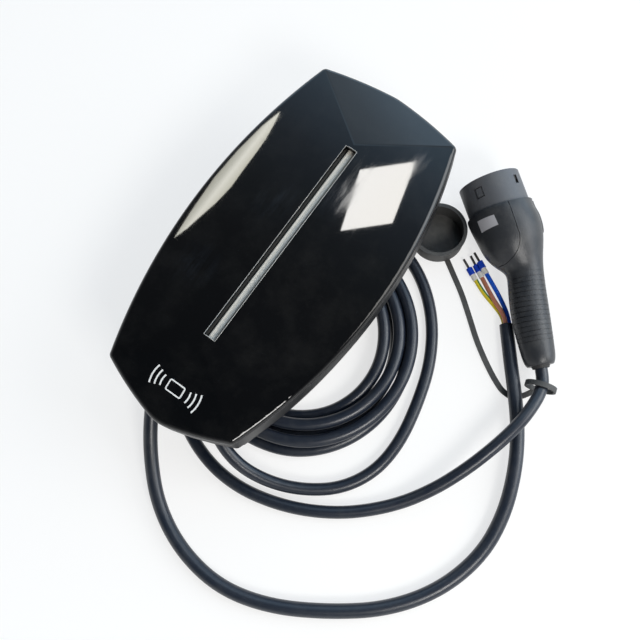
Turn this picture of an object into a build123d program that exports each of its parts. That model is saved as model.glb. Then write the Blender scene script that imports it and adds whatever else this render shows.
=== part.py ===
from build123d import *
import os
from math import cos, pi, radians, sin, tan

# An EV wallbox that lies on its back on its own coiled charging cable, with its supply cable and its
# charging connector beside it. Millimetres. X runs to the right of the face, Y up the wall and Z out of
# the face. The origin is the middle of the wall bracket's seat on the back.

# Outline of the box, seen from the front
corner_span = 345.0
top_width = 153.5
bottom_width = 140.0
side_bulge = 29.5
top_apex = 14.0
bottom_apex = 24.0
end_bulge = 2.2
corner_radius = 6.0
apex_radius = 40.0
least_radius = 2.0

# Gem-cut face of the front cover
ridge_z = 97.0
side_fall = 24.0
ridge_top = 114.0
ridge_bottom = 120.0
cover_wall = 3.0
rim_radius = 5.0
skirt_z = 46.0

# Light slot on the ridge
slot_length = 218.0
trough_width = 13.5
trough_depth = 7.0
bar_width = 7.0
bar_clearance = 0.2
bar_proud = 0.4
bar_flange = 2.0
bar_flange_width = 12.0
bed_width = 20.0
bed_floor = 3.0
chip_count = 14
chip_size = 3.5
chip_height = 1.2
chip_groove = 5.0
chip_groove_depth = 1.5

# Rear housing
bracket_recess = 6.0
seam_z = 50.0
housing_inset = 8.0
housing_wall = 3.0
seat_width = 146.0
seat_height = 130.0
pocket_y = -78.0
shelf_thickness = 8.0
exit_width = 116.0
seal_height = 2.0

# Wall bracket inserts
insert_dy = 110.0
insert_radius = 3.25
insert_bore = 2.1
insert_length = 9.0
insert_boss = 6.0
boss_space = 1.0
boss_floor = 2.0

# Cover screws, driven from behind
screw_places = [(50.0, 156.0), (83.0, 5.0), (46.0, -135.0)]
screw_radius = 2.0
screw_hole = 2.3
screw_head_radius = 4.0
screw_head_height = 3.2
screw_length = 22.0
well_radius = 4.7
column_radius = 6.5
cover_boss_radius = 5.0

# Circuit boards
board_thickness = 1.6
board_width = 120.0
board_length = 190.0
board_y = 50.0
board_z = 13.0
board_hole_inset = 6.0
board_boss_radius = 4.0
small_screw_radius = 1.5
small_head_radius = 2.8
small_head_height = 2.0
small_screw_length = 8.0
reader_width = 70.0
reader_height = 44.0
reader_y = -152.0
reader_z = 66.0
reader_post_radius = 3.5
light_board_width = 10.0

# Parts on the main board
relay_size = (38.0, 30.0, 26.0)
relay_places = [(-31.0, 62.0), (13.0, 62.0)]
module_size = (52.0, 30.0, 22.0)
module_place = (-20.0, 112.0)
capacitor_radius = 8.0
capacitor_height = 24.0
capacitor_places = [(18.0, 108.0), (38.0, 108.0)]
block_edge = 1.0
sensor_outer = 17.0
sensor_bore = 9.0
sensor_depth = 16.0
sensor_place = (6.0, 18.0)
sensor_foot = 4.0
terminal_pitch = 11.0
terminal_depth = 17.0
terminal_height = 19.0
terminal_y = -8.0
terminal_bore = 3.0
terminal_screw = 3.0
screw_well_share = 0.7
supply_poles = 3
supply_block_x = -38.0
charge_poles = 5
charge_block_x = 12.0

# Cable glands in the pocket's wall
gland_z = 22.0
supply_x = -52.0
charge_x = 4.0
gland_thread = 12.5
gland_hole_clearance = 0.2
gland_flat = 30.0
gland_collar = 7.0
gland_neck = 11.0
gland_neck_length = 9.0
gland_bore = 8.5
gland_inside = 12.0
nut_flat = 31.0
nut_hex = 10.0
nut_dome = 7.0
nut_gap = 1.0
seal_radius = 9.9
seal_clearance = 0.1
cable_clearance = 0.15
mouth_clearance = 1.2
locknut_flat = 32.0
locknut_height = 5.0
core_diameter = 4.6
core_spread = 3.1
sheath_reach = 2.0
core_straight = 8.0

# Cables
supply_diameter = 14.0
charge_diameter = 12.5
coil_height = 25.5
coil_inner = 77.0
coil_outer = 122.0
coil_x = 43.0
coil_y = -42.0
coil_round = 6.0
stub_radius = 95.0
stub_turn = 52.0
arc_share = 0.45

# Charging connector, lying on its side
mouth_x = 111.5
mouth_y = 193.0
head_angle = -37.0
head_tilt = 5.0
mouth_height = 37.5
shroud_radius = 31.3
shroud_flat = 29.2
shroud_wall = 3.0
shroud_length = 33.0
carrier_radius = 25.0
carrier_flat = 23.0
carrier_recess = 5.0
contact_places = [(0, 0), (17, 0), (-17, 0), (9, -15), (-9, -15)]
pilot_places = [(9, 13.5), (-9, 13.5)]
contact_outer = 4.6
contact_bore = 3.1
pilot_outer = 3.2
pilot_bore = 1.7
contact_length = 20.0
contact_clearance = 0.1
contact_recess = 2.0
contact_floor = 2.0
catch_place = (14.0, -19.5)
catch_size = (11.0, 7.0)
catch_line = 1.2
window_place = (11.5, 20.0)
window_size = (9.0, 3.5)
body_length = 160.5
groove_first = 103.0
groove_count = 15
groove_pitch = 4.8
groove_width = 0.9
groove_depth = 0.5
panel_gap = 0.5
panel_depth = 3.0
panel_base = 2.0
panel_edge = [(62.0, 1.5), (81.5, -5.0), (88.5, -18.0), (84.0, -29.0), (74.0, -38.0)]
pad_place = 51.0
pad_length = 34.0
pad_height = 18.0
pad_proud = 0.8
pad_corner = 4.0
bush_length = 3.0
bush_radius = 8.2
bush_taper = 1.2
lead_straight = 14.0

# Dust cap, its strap and the ring round the lead
cap_x = 96.5
cap_y = 126.5
cap_radius = 29.0
cap_height = 24.5
cap_wall = 2.6
cap_lip = 1.2
cap_lip_height = 4.0
strap_width = 5.5
strap_thickness = 2.0
ring_width = 5.0
ring_clearance = 1.2
lug_length = 16.0

# Stripped end of the supply cable
wire_diameter = 4.6
sleeve_diameter = 5.6
sleeve_length = 7.0
collar_diameter = 6.6
collar_length = 8.0
pin_diameter = 2.6
pin_length = 11.0
wire_clearance = 0.1
wire_straight = 9.0

# Levels that follow from the sizes above
back_z = -bracket_recess
floor_z = back_z - coil_height
shelf_z = seam_z - shelf_thickness
trough_z = ridge_z - trough_depth
bed_z = trough_z - bed_floor
flange_z = bed_z - bar_flange
board_top = board_z + board_thickness
insert_dx = board_width + 2 * (insert_boss + boss_space)
side_slope = side_fall / (top_width / 2 + side_bulge)
half_span = corner_span / 2
supply_z = floor_z + supply_diameter / 2
charge_z = floor_z + charge_diameter / 2
sheath_y = pocket_y + gland_inside + sheath_reach
low = (Align.CENTER, Align.CENTER, Align.MIN)


def block(width, depth, z0, z1, x=0.0, y=0.0):
    """Box from level z0 to level z1, centred on x, y."""
    return Pos(x, y, z0) * Box(width, depth, z1 - z0, align=low)


def rod(radius, z0, z1, x=0.0, y=0.0):
    """Upright cylinder from level z0 to level z1."""
    return Pos(x, y, z0) * Cylinder(radius, z1 - z0, align=low)


def both_sides(places):
    """Each place and its mirror image across the middle plane."""
    return [(side * x, y) for x, y in places for side in (1, -1)]


def corners():
    """Corners of the outline, anticlockwise from the lower right one, with the apex of each end."""
    top, bottom = top_width / 2, bottom_width / 2
    return [
        (bottom, -half_span),
        (top, half_span),
        (0, half_span + top_apex),
        (-top, half_span),
        (-bottom, -half_span),
        (0, -half_span - bottom_apex),
    ]


def disc(start, end, bulge, inset):
    """Disc whose edge runs from start to end with a bulge to the right, made smaller by inset."""
    a, b = Vector(*start), Vector(*end)
    run = b - a
    radius = (run.length**2 / 4 + bulge**2) / (2 * bulge)
    middle = (a + b) / 2 - Vector(run.Y, -run.X).normalized() * (radius - bulge)
    return Pos(middle.X, middle.Y) * Circle(radius - inset)


def side_face(inset=0.0):
    """Lens between the two bulging sides."""
    lower_right, upper_right, _, upper_left, lower_left, _ = corners()
    right = disc(lower_right, upper_right, side_bulge, inset)
    return right & disc(upper_left, lower_left, side_bulge, inset)


def end_face(inset=0.0):
    """Area between the two pointed ends."""
    lower_right, upper_right, top, upper_left, lower_left, bottom = corners()
    face = disc(upper_right, top, end_bulge, inset) & disc(top, upper_left, end_bulge, inset)
    face &= disc(lower_left, bottom, end_bulge, inset) & disc(bottom, lower_right, end_bulge, inset)
    return fillet([v for v in face.vertices() if abs(v.X) < 0.01], apex_radius - inset)


def outline(inset=0.0):
    """Outline of the box, with every side moved in by inset."""
    face = side_face(inset) & end_face(inset)
    outer = [v for v in face.vertices() if abs(v.X) > bottom_width / 4]
    return fillet(outer, max(corner_radius - inset, least_radius))


def outline_prism(inset, z0, z1):
    """Upright prism on the box's outline."""
    return extrude(Pos(0, 0, z0) * outline(inset), amount=z1 - z0)


def gables(drop):
    """Volume under the two side facets and volume under the two end facets, lowered by drop."""
    top = ridge_z - drop
    far = 2 * corner_span
    low_z = top - far
    side_z = top - side_slope * far
    sides = Polyline((-far, low_z), (far, low_z), (far, side_z), (0, top), (-far, side_z), close=True)
    top_slope = side_slope * top_width / 2 / (half_span - ridge_top)
    bottom_slope = side_slope * bottom_width / 2 / (half_span - ridge_bottom)
    upper = top - top_slope * (far - ridge_top)
    lower = top - bottom_slope * (far - ridge_bottom)
    ends = Polyline(
        (-far, low_z),
        (far, low_z),
        (far, upper),
        (ridge_top, top),
        (-ridge_bottom, top),
        (-far, lower),
        close=True,
    )
    return [
        extrude(Plane.XZ * make_face(sides), amount=far, both=True),
        extrude(Plane.YZ * make_face(ends), amount=far, both=True),
    ]


def roof(inset, drop, z0):
    """Volume under the gem-cut face, with its walls moved in by inset and its facets lowered by drop."""
    side_gable, end_gable = gables(drop)
    return outline_prism(inset, z0, ridge_z) & side_gable & end_gable


def rounded_roof(z0):
    """Outer volume of the cover: rims rounded first, then the corners together with the hips."""
    halves = []
    for face, gable in zip((side_face(), end_face()), gables(0)):
        half = extrude(Pos(0, 0, z0) * face, amount=ridge_z + 1 - z0) & gable
        halves.append(fillet(half.edges().filter_by(GeomType.ELLIPSE), rim_radius))
    body = halves[0] & halves[1]
    upright = [e for e in body.edges().filter_by(Axis.Z) if abs(e.center().X) > bottom_width / 4]
    return fillet(upright, corner_radius)


def make_front_cover():
    """Gem-cut cover with a light slot, an inner rib over the seal and bosses for its screws."""
    cover = rounded_roof(skirt_z) - roof(cover_wall, cover_wall, skirt_z - 1)
    inside = roof(cover_wall / 2, cover_wall / 2, skirt_z)
    rib = outline_prism(housing_inset, seam_z + seal_height, ridge_z)
    rib -= outline_prism(housing_inset + housing_wall, seam_z, ridge_z + 1)
    rib += block(bed_width, slot_length + bed_width, bed_z, ridge_z)
    for x, y in both_sides(screw_places):
        rib += rod(cover_boss_radius, seam_z, ridge_z, x, y)
    for x, y in reader_holes():
        rib += rod(reader_post_radius, reader_z, ridge_z, x, y)
    cover += rib & inside
    half_floor = bar_width / 2 + bar_clearance
    flare = (trough_width / 2 - half_floor) / trough_depth
    half_top = trough_width / 2 + flare
    section = Polyline(
        (-half_floor, trough_z),
        (half_floor, trough_z),
        (half_top, ridge_z + 1),
        (-half_top, ridge_z + 1),
        close=True,
    )
    cover -= extrude(Plane.XZ * make_face(section), amount=slot_length / 2, both=True)
    cover -= block(2 * half_floor, slot_length, bed_z - 1, trough_z + 1)
    for x, y in both_sides(screw_places):
        cover -= rod(screw_radius, seam_z - 1, shelf_z + screw_length + 1, x, y)
    for x, y in reader_holes():
        cover -= rod(small_screw_radius, reader_z - 1, reader_z + small_screw_length, x, y)
    return cover


def make_light_bar():
    """Diffuser bar with a flange under the cover's bed and a groove over the light chips."""
    length = slot_length - 2 * bar_clearance
    web = block(bar_width, length, flange_z, trough_z + bar_proud)
    crown = [e for e in web.edges().filter_by(Axis.Y) if e.center().Z > trough_z]
    bar = fillet(crown, bar_width / 4) + block(bar_flange_width, length, flange_z, bed_z)
    return bar - block(chip_groove, length, flange_z - 1, flange_z + chip_groove_depth)


def make_light_board():
    """Strip of circuit board under the light bar."""
    return block(light_board_width, slot_length - 2 * bar_clearance, flange_z - board_thickness, flange_z)


def make_light_chips():
    """Row of light chips on the strip."""
    step = slot_length / chip_count
    first = (step - slot_length) / 2
    return [
        block(chip_size, chip_size, flange_z, flange_z + chip_height, 0, first + step * i)
        for i in range(chip_count)
    ]


def reader_holes():
    """Places of the card reader board's screws."""
    dx = reader_width / 2 - reader_post_radius - 1
    dy = reader_height / 2 - reader_post_radius - 1
    return [(i * dx, reader_y + j * dy) for i in (-1, 1) for j in (-1, 1)]


def board_holes():
    """Places of the main board's screws."""
    dx = board_width / 2 - board_hole_inset
    dy = board_length / 2 - board_hole_inset
    return [(i * dx, board_y + j * dy) for i in (-1, 1) for j in (-1, 1)]


def insert_places():
    """Places of the wall bracket's threaded inserts."""
    return [(i * insert_dx / 2, j * insert_dy / 2) for i in (-1, 1) for j in (-1, 1)]


def upper_half(solid, y):
    """The part of a solid above level y on the wall."""
    reach = 3 * corner_span
    return solid & block(reach, reach, -reach, reach, 0, y + reach / 2)


def make_rear_housing():
    """Housing with a bracket seat on its back, an open cable pocket at its foot and screw wells."""
    inner = housing_inset + housing_wall
    housing = outline_prism(housing_inset, back_z, seam_z)
    cavity = upper_half(outline_prism(inner, back_z + housing_wall, seam_z + 1), pocket_y + housing_wall)
    platform = block(seat_width + 2 * housing_wall, seat_height + 2 * housing_wall, back_z, housing_wall)
    housing -= cavity - platform
    pocket = outline_prism(inner, back_z - 1, shelf_z)
    housing -= pocket - upper_half(pocket, pocket_y)
    housing -= block(exit_width, corner_span, back_z - 1, shelf_z, 0, pocket_y - corner_span / 2)
    housing -= block(seat_width, seat_height, back_z - 1, 0)
    for x, y in both_sides(screw_places):
        if y > pocket_y:
            housing += rod(column_radius, back_z, seam_z, x, y)
        housing -= rod(screw_hole, back_z - 1, seam_z + 1, x, y)
        housing -= rod(well_radius, back_z - 1, shelf_z, x, y)
    for x, y in insert_places():
        housing += rod(insert_boss, 0, insert_length + boss_floor, x, y)
        housing -= rod(insert_radius, -1, insert_length, x, y)
    for x, y in board_holes():
        housing += rod(board_boss_radius, back_z, board_z, x, y)
        housing -= rod(small_screw_radius, board_top - small_screw_length, board_z + 1, x, y)
    for x in (supply_x, charge_x):
        hole = Cylinder(gland_thread + gland_hole_clearance, 4 * housing_wall)
        housing -= Pos(x, pocket_y + housing_wall / 2, gland_z) * Rot(90, 0, 0) * hole
    return housing


def make_cover_seal():
    """Flat rubber seal between the housing's edge and the cover's rib."""
    seal = outline_prism(housing_inset, seam_z, seam_z + seal_height)
    return seal - outline_prism(housing_inset + housing_wall, seam_z - 1, ridge_z)


def screw_up(radius, length, head_radius, head_height, x, y, z):
    """Pan-head screw that points up, with its head under level z."""
    head = Cylinder(head_radius, head_height, align=low)
    head = chamfer(head.edges().group_by(Axis.Z)[0], head_height / 4)
    return Pos(x, y, z - head_height) * head + rod(radius, z - head_height / 2, z + length, x, y)


def screw_down(radius, length, head_radius, head_height, x, y, z):
    """Pan-head screw that points down, with its head on level z."""
    screw = screw_up(radius, length, head_radius, head_height, 0, 0, 0)
    return Pos(x, y, z) * Rot(180, 0, 0) * screw


def make_cover_screws():
    """Six long screws from the wells into the cover's bosses."""
    return [
        screw_up(screw_radius, screw_length, screw_head_radius, screw_head_height, x, y, shelf_z)
        for x, y in both_sides(screw_places)
    ]


def make_bracket_inserts():
    """Four threaded bushes for the wall bracket's screws."""
    return [rod(insert_radius, 0, insert_length, x, y) - rod(insert_bore, -1, insert_length + 1, x, y)
            for x, y in insert_places()]


def make_main_board():
    """Main circuit board with a hole at each corner."""
    board = block(board_width, board_length, board_z, board_top, 0, board_y)
    for x, y in board_holes():
        board -= rod(small_screw_radius, board_z - 1, board_top + 1, x, y)
    return board


def make_board_screws():
    """Four screws that hold the main board on its bosses."""
    length = small_screw_length
    return [screw_down(small_screw_radius, length, small_head_radius, small_head_height, x, y, board_top)
            for x, y in board_holes()]


def make_card_reader_board():
    """Card reader board with a printed coil frame, hung on four posts inside the cover."""
    board = block(reader_width, reader_height, reader_z - board_thickness, reader_z, 0, reader_y)
    for x, y in reader_holes():
        board -= rod(small_screw_radius, reader_z - board_thickness - 1, reader_z + 1, x, y)
    return board


def make_reader_screws():
    """Four screws that hold the card reader board."""
    length = small_screw_length
    seat = reader_z - board_thickness
    return [
        screw_up(small_screw_radius, length, small_head_radius, small_head_height, x, y, seat)
        for x, y in reader_holes()
    ]


def moulded_block(size, place, edge):
    """Component body on the main board, with its top edges broken."""
    width, depth, height = size
    body = block(width, depth, board_top, board_top + height, *place)
    return chamfer(body.edges().group_by(Axis.Z)[-1], edge)


def make_power_relays():
    """Two power relays, one for each switched conductor."""
    return [moulded_block(relay_size, place, block_edge) for place in relay_places]


def make_power_module():
    """Low-voltage power supply module."""
    return moulded_block(module_size, module_place, block_edge)


def make_capacitors():
    """Two upright capacitors."""
    top = board_top + capacitor_height
    cans = [rod(capacitor_radius, board_top, top, x, y) for x, y in capacitor_places]
    return [fillet(can.edges().group_by(Axis.Z)[-1], block_edge) for can in cans]


def make_current_sensor():
    """Ring sensor for leakage current on a square foot."""
    x, y = sensor_place
    middle = board_top + sensor_foot + sensor_outer
    ring = Cylinder(sensor_outer, sensor_depth)
    body = Pos(x, y, middle) * Rot(90, 0, 0) * ring
    body += block(2 * sensor_outer, sensor_depth, board_top, middle - sensor_outer / 2, x, y)
    return body - Pos(x, y, middle) * Rot(90, 0, 0) * Cylinder(sensor_bore, 2 * sensor_depth)


def pole_places(poles, x):
    """X of each pole of a terminal block centred on x."""
    return [x + terminal_pitch * (i - (poles - 1) / 2) for i in range(poles)]


def core_level():
    """Height of the terminal blocks' wire holes."""
    return board_top + terminal_height / 3


def make_terminals(poles, x):
    """Screw terminal block: a wire hole and a screw well for each pole."""
    size = (terminal_pitch * poles + 2, terminal_depth, terminal_height)
    body = moulded_block(size, (x, terminal_y), block_edge)
    for pole in pole_places(poles, x):
        front = terminal_y - terminal_depth / 2
        wire_hole = Cylinder(terminal_bore, terminal_depth)
        body -= Pos(pole, front, core_level()) * Rot(90, 0, 0) * wire_hole
        well_z = board_top + terminal_height * screw_well_share
        body -= rod(terminal_screw, well_z, board_top + terminal_height + 1, pole, terminal_y)
    return body


def corner_radii(points, share=arc_share):
    """Radius of the arc at each inner point, which takes a share of the shorter run beside it."""
    spots = [Vector(*p) for p in points]
    radii = []
    for a, b, c in zip(spots, spots[1:], spots[2:]):
        half_turn = radians((b - a).get_angle(c - b)) / 2
        radii.append(share * min((b - a).length, (c - b).length) / tan(half_turn))
    return radii


def tube(points, diameter, name=""):
    """Round cable along straight runs joined by tangent arcs."""
    radii = corner_radii(points)
    path = FilletPolyline(*points, radius=radii)
    solid = sweep(Plane(path @ 0, z_dir=path % 0) * Circle(diameter / 2), path=path)
    if name:
        error = solid.volume / (path.length * pi * diameter**2 / 4) - 1
        print(name, "length", round(path.length, 1), "volume error", round(error, 5))
        print(name, "radii", [round(r) for r in radii])
    return solid


def make_cores(poles, block_x, cable_x):
    """Cores of a cable from the end of its sheath to their terminals."""
    front = terminal_y - terminal_depth / 2
    cores = []
    for i, pole in enumerate(pole_places(poles, block_x)):
        turn = radians(360 * i / poles + 180)
        x, z = cable_x + core_spread * sin(turn), gland_z + core_spread * cos(turn)
        route = [
            (x, sheath_y, z),
            (x, sheath_y + core_straight, z),
            (pole, front - core_straight, core_level()),
            (pole, front + terminal_depth / 3, core_level()),
        ]
        cores.append(tube(route, core_diameter))
    return cores


def hexagon(flat, z0, z1):
    """Hexagonal prism of a width across flats."""
    return extrude(Pos(0, 0, z0) * RegularPolygon(flat / 2, 6, major_radius=False), amount=z1 - z0)


def gland_at(x, piece):
    """Turn a gland piece, made along Z from the wall's outer face, to point down the wall at x."""
    return Pos(x, pocket_y, gland_z) * Rot(90, 0, 0) * piece


def make_gland_body(x):
    """Gland body: thread through the wall, hexagonal collar and a neck for the dome nut."""
    neck_top = gland_collar + gland_neck_length
    body = rod(gland_thread, -gland_inside, 0) + hexagon(gland_flat, 0, gland_collar)
    body += rod(gland_neck, gland_collar, neck_top)
    body -= rod(gland_bore, -gland_inside - 1, neck_top + 1)
    body -= rod(seal_radius + seal_clearance, gland_collar, neck_top + 1)
    return gland_at(x, body)


def make_gland_nut(x, cable_diameter):
    """Dome nut that squeezes the seal onto the cable."""
    start = gland_collar + nut_gap
    shoulder = start + nut_hex
    tip = shoulder + nut_dome
    mouth = cable_diameter / 2 + mouth_clearance
    dome_base = nut_flat / 2
    dome = make_face(
        Polyline((0, shoulder), (dome_base, shoulder)).edges()
        + ThreePointArc(
            (dome_base, shoulder), (0.9 * dome_base, shoulder + 0.6 * nut_dome), (0.7 * dome_base, tip)
        ).edges()
        + Polyline((0.7 * dome_base, tip), (0, tip), (0, shoulder)).edges()
    )
    nut = hexagon(nut_flat, start, shoulder) + revolve(Plane.XZ * dome, Axis.Z)
    nut -= rod(gland_neck + seal_clearance, start - 1, gland_collar + gland_neck_length + nut_gap)
    nut -= rod(seal_radius + seal_clearance, start, shoulder + nut_dome / 2)
    nut -= rod(mouth, start, tip + 1)
    return gland_at(x, nut)


def make_gland_seal(x, cable_diameter):
    """Rubber sleeve round the cable inside the gland."""
    z1 = gland_collar + nut_gap + nut_hex + nut_dome / 2
    seal = rod(seal_radius, gland_collar, z1)
    return gland_at(x, seal - rod(cable_diameter / 2 + cable_clearance, 0, z1 + 1))


def make_gland_locknut(x):
    """Lock nut on the thread inside the housing."""
    z1 = -housing_wall
    nut = hexagon(locknut_flat, z1 - locknut_height, z1)
    return gland_at(x, nut - rod(gland_thread, z1 - locknut_height - 1, 1))


# Route of the charging cable from its gland round the outside of the coil
charge_start_route = [
    (charge_x, sheath_y, gland_z),
    (charge_x, -117, gland_z),
    (14, -149, 17),
    (36, -174.5, 7),
    (68, -185.5, -6),
    (101, -182, -17),
    (133, -169, -23),
    (163, -146, charge_z),
    (181, -114, charge_z),
    (185, -78, charge_z),
    (179, -38, charge_z),
    (166, 8, charge_z),
    (141, 50, charge_z),
    (104, 82, charge_z),
    (58, 98, charge_z),
    (10, 91, charge_z),
    (-31, 70, charge_z),
    (-57.3, 40.3, charge_z),
]

# Route of the charging cable from the coil to the connector
charge_lead_route = [
    (-84, -70, charge_z),
    (-70, -114, charge_z),
    (-40, -156, charge_z),
    (0, -186, charge_z),
    (40, -201, charge_z),
    (79, -203.5, charge_z),
    (118, -195, charge_z),
    (153, -180, charge_z),
    (186, -158, charge_z),
    (216.5, -127, floor_z + 8),
    (237, -95, floor_z + 14),
    (251, -63, floor_z + 21),
    (261, -32, floor_z + 27),
    (268, -3, floor_z + 29),
    (270.5, 21, floor_z + 27.5),
    (269.8, 41, floor_z + 24),
]

# Route of the supply cable, which passes under the lead and over the cap's strap
supply_route = [
    (supply_x, sheath_y, gland_z),
    (supply_x, -118, gland_z),
    (-47, -155, 14),
    (-31, -193, 0),
    (-8, -229, -15),
    (25, -262, -23),
    (69, -283, supply_z),
    (120, -289, supply_z),
    (170, -275, supply_z),
    (219, -246, supply_z),
    (262, -212, supply_z),
    (293, -169, supply_z),
    (308, -120, supply_z),
    (305, -75, floor_z + 8.5),
    (290, -32, floor_z + 12),
    (271, 2, floor_z + 12.5),
    (250, 30, floor_z + 11.5),
    (229, 56, floor_z + 9),
    (206.8, 84.8, supply_z),
]

# Route of the strap, flat on the floor
strap_route = [
    (151.4, 88.9),
    (170, 73.5),
    (191, 55.5),
    (209, 43),
    (224.5, 33.5),
    (239, 26.5),
    (251, 26),
    (259, 33),
]


def make_coil():
    """Outer shape of the coiled cable: a low ring with the two ends of the cable leaving it."""
    width = coil_outer - coil_inner
    middle = (coil_inner + coil_outer) / 2
    section = Pos(middle, floor_z + coil_height / 2) * RectangleRounded(width, coil_height, coil_round)
    coil = Pos(coil_x, coil_y) * revolve(Plane.XZ * section, Axis.Z)
    for route, ahead in ((charge_start_route[::-1], -1), (charge_lead_route, 1)):
        first = Vector(*route[0])
        away = (Vector(*route[1]) - first).normalized()
        stub = JernArc(start=first, tangent=-away, radius=stub_radius, arc_size=-ahead * stub_turn)
        coil += sweep(Plane(first, z_dir=-away) * Circle(charge_diameter / 2), path=stub)
    return coil


# Axis of the connector's body: distance from the mouth, offset, lean, half width and half height
body_sections = [
    (shroud_length, 0.0, 0.0, 34.0, 33.6),
    (47.0, 0.6, 0.0, 34.0, 33.4),
    (62.0, 1.4, 0.0, 32.8, 31.6),
    (75.0, 1.0, 0.0, 29.8, 28.0),
    (87.0, 1.8, 0.0, 24.4, 22.8),
    (97.0, 2.6, -4.0, 19.6, 19.2),
    (109.0, 0.4, -11.0, 18.3, 18.3),
    (132.0, -5.2, -13.0, 18.9, 18.6),
    (156.0, -9.8, -9.5, 18.4, 18.2),
    (180.0, -13.4, -8.5, 16.6, 16.8),
    (189.0, -14.8, -9.0, 15.2, 15.6),
    (shroud_length + body_length, -15.5, -9.0, 13.0, 13.4),
]


def connector_at(piece):
    """Place a connector piece, made along X from its mouth with Y to the flat of the shroud."""
    lie = Pos(mouth_x, mouth_y, floor_z + mouth_height) * Rot(0, 0, head_angle)
    return lie * Rot(0, head_tilt, 0) * piece


def across(x, y=0.0, lean=0.0):
    """Location whose Z points back along the connector at distance x."""
    return Pos(x, y, 0) * Rot(0, 0, lean) * Rot(0, 90, 0)


def loft_body(shrink=0.0):
    """Body of the connector, or its core at a depth under the surface."""
    return loft([across(x, y, lean) * Ellipse(high - shrink, wide - shrink)
                 for x, y, lean, wide, high in body_sections])


def section_at(x):
    """Values of the body's section at a distance from the mouth, between the listed ones."""
    for a, b in zip(body_sections, body_sections[1:]):
        if x <= b[0]:
            part = (x - a[0]) / (b[0] - a[0])
            return [p + (q - p) * part for p, q in zip(a, b)]


def shield(gap=0.0):
    """Upright prism on the side panel's shield outline, widened by a gap."""
    x0 = shroud_length - 1
    side = -2 * shroud_radius
    shoulder, bend, tip, heel, foot = panel_edge
    edge = Polyline((foot[0], side), (x0, side), (x0, shoulder[1]), shoulder).edges()
    edge += ThreePointArc(shoulder, bend, tip).edges() + ThreePointArc(tip, heel, foot).edges()
    edge += Line(foot, (foot[0], side)).edges()
    face = make_face(edge)
    if gap:
        face = offset(face, gap)
    return extrude(Pos(0, 0, panel_base - gap) * face, amount=2 * shroud_radius)


def make_connector_body():
    """Handle with a bulky head, a waist, a grip with ring grooves and a recess for the side panel."""
    body = loft_body()
    for i in range(groove_count):
        x, y, lean, wide, high = section_at(groove_first + groove_pitch * i)
        core = extrude(Ellipse(high - groove_depth, wide - groove_depth), amount=groove_width, both=True)
        body -= across(x, y, lean) * (Box(3 * high, 3 * wide, groove_width) - core)
    body -= shield(panel_gap) - loft_body(panel_depth)
    pad = Pos(pad_place, shroud_radius) * Box(pad_length, shroud_radius, pad_height)
    pad = fillet(pad.edges().filter_by(Axis.Y), pad_corner) & loft_body(-pad_proud)
    return connector_at(body + pad)


def make_connector_panel():
    """Shield-shaped side panel, flush with the body."""
    return connector_at((loft_body() & shield()) - loft_body(panel_depth))


def d_profile(radius, flat):
    """Round profile with one flat side."""
    return Circle(radius) & Pos(0, (flat - radius) / 2) * Rectangle(2 * radius, flat + radius)


def make_connector_shroud():
    """Sleeve round the contacts with its lock windows."""
    sleeve = extrude(across(0) * d_profile(shroud_radius, shroud_flat), amount=shroud_length)
    inner = d_profile(shroud_radius - shroud_wall, shroud_flat - shroud_wall)
    sleeve -= extrude(across(-1) * inner, amount=shroud_length + 2)
    length, width = catch_size
    catch = Box(length, width, 2 * shroud_radius, align=low)
    catch -= Box(length - 2 * catch_line, width - 2 * catch_line, 4 * shroud_radius)
    core = d_profile(shroud_radius - catch_line, shroud_flat - catch_line)
    sleeve -= Pos(*catch_place, 0) * catch - extrude(across(-1) * core, amount=shroud_length + 2)
    sleeve -= Pos(*window_place, 0) * Box(*window_size, 2 * shroud_radius, align=low)
    return connector_at(sleeve)


def make_contact_carrier():
    """Insert that holds the contacts, seated on the body."""
    front = carrier_recess
    profile = d_profile(carrier_radius, carrier_flat)
    carrier = extrude(across(front) * profile, amount=shroud_length - front)
    depth = contact_recess + contact_length
    for places, radius in ((contact_places, contact_outer), (pilot_places, pilot_outer)):
        for x, y in places:
            hole = Pos(x, y) * Cylinder(radius + contact_clearance, depth, align=low)
            carrier -= across(front) * hole
    return connector_at(carrier)


def make_contact_sleeves():
    """Five power contacts and two pilot contacts."""
    start = carrier_recess + contact_recess
    sleeves = []
    for places, outer, bore in (
        (contact_places, contact_outer, contact_bore),
        (pilot_places, pilot_outer, pilot_bore),
    ):
        for x, y in places:
            sleeve = rod(outer, 0, contact_length) - rod(bore, -1, contact_length - contact_floor)
            sleeves.append(connector_at(across(start) * Pos(x, y) * sleeve))
    return sleeves


def make_connector_bush():
    """Tapered bush where the cable leaves the grip."""
    x, y, lean, _, _ = body_sections[-1]
    bush = Cone(bush_radius + bush_taper, bush_radius, bush_length, align=low)
    bush -= rod(charge_diameter / 2 + cable_clearance, -1, bush_length + 1)
    return connector_at(across(x, y, lean) * bush)


def make_dust_cap():
    """Round rubber cap, mouth up, with a thick lip and a lug for the strap."""
    top = floor_z + cap_height
    cap = rod(cap_radius - cap_lip, floor_z, top)
    cap += rod(cap_radius, top - cap_lip_height, top)
    cap -= rod(cap_radius - cap_wall - cap_lip, floor_z + cap_wall, top + 1)
    base = [e for e in cap.edges() if e.center().Z < floor_z + 0.01]
    cap = Pos(cap_x, cap_y) * fillet(base, cap_wall)
    start, ahead = strap_start()
    reach = lug_length + cap_lip + cap_wall / 2
    bar = Pos(-reach / 2, 0) * Box(reach, strap_width, strap_thickness, align=low)
    return cap + Plane(start, x_dir=ahead, z_dir=(0, 0, 1)).location * bar


def strap_start():
    """End of the cap's lug and the way the strap leaves it."""
    middle = Vector(cap_x, cap_y, floor_z)
    ahead = (Vector(*strap_route[0], floor_z) - middle).normalized()
    return middle + ahead * (cap_radius + lug_length), ahead


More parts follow.
